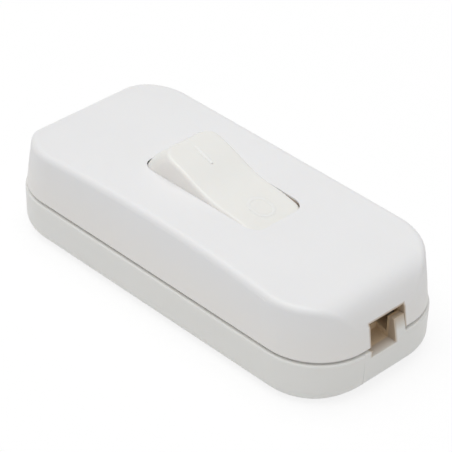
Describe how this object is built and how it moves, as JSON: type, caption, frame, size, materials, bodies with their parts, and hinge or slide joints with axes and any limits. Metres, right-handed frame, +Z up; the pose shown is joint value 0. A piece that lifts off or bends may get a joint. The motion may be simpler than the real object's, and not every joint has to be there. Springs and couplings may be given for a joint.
{
  "type": "inline lamp switch",
  "caption": "White inline rocker switch for a lamp cord: two-shell housing, arched cover, raised rocker, a cord inlet at each end.",
  "frame": {"origin": "middle of the underside, on the surface that the switch lies on", "axes": "+Z up, +X along the length towards the end where the rocker is pressed down, +Y across the width"},
  "size_m": [0.068, 0.029, 0.0206],
  "materials": {
    "base_plastic": "satin moulded thermoplastic, slightly warm white",
    "cover_plastic": "satin moulded thermoplastic, white",
    "rocker_plastic": "semi-gloss moulded plastic, ivory white",
    "spring_steel": "drawn spring wire",
    "brass": "stamped and machined brass",
    "silver": "silver contact faces",
    "plated_steel": "zinc-plated steel",
    "brown_fibre": "brown laminate, matt"
  },
  "bodies": {
    "housing": {"base_shell": "base_plastic", "cover_shell": "cover_plastic", "pivot_terminal": "brass", "fixed_terminal": "brass", "fixed_rivet": "silver", "neutral_link": "brass", "pivot_terminal_screw": "plated_steel", "fixed_terminal_screw": "plated_steel", "neutral_screw_in": "plated_steel", "neutral_screw_out": "plated_steel", "cord_clamp_in": "brown_fibre", "cord_clamp_out": "brown_fibre", "clamp_screws_in": "plated_steel", "clamp_screws_out": "plated_steel", "housing_screws": "plated_steel"},
    "rocker": {"rocker": "rocker_plastic", "rocker_spring": "spring_steel"},
    "plunger": {"spring_plunger": "rocker_plastic"},
    "seesaw": {"seesaw_contact": "brass", "seesaw_rivet": "silver"}
  },
  "joints": [
    {"name": "rocker_tilt", "type": "hinge", "parent": "housing", "child": "rocker", "pos_m": [0, 0, 0.0091], "axis": [0, -1, 0], "range_deg": [0, 28]},
    {"name": "seesaw_tilt", "type": "hinge", "parent": "housing", "child": "seesaw", "pos_m": [0, 0, 0.0046], "axis": [0, -1, 0], "range_deg": [-14, 0]},
    {"name": "plunger_slide", "type": "slide", "parent": "rocker", "child": "plunger", "axis": [0.2419, 0, 0.9703], "range_m": [0, 0.0008], "stiffness_N_per_m": 100, "deforming": ["rocker_spring"]}
  ],
  "couplings": [
    {"joint": "seesaw_tilt", "follows": "rocker_tilt", "ratio": -0.5}
  ]
}
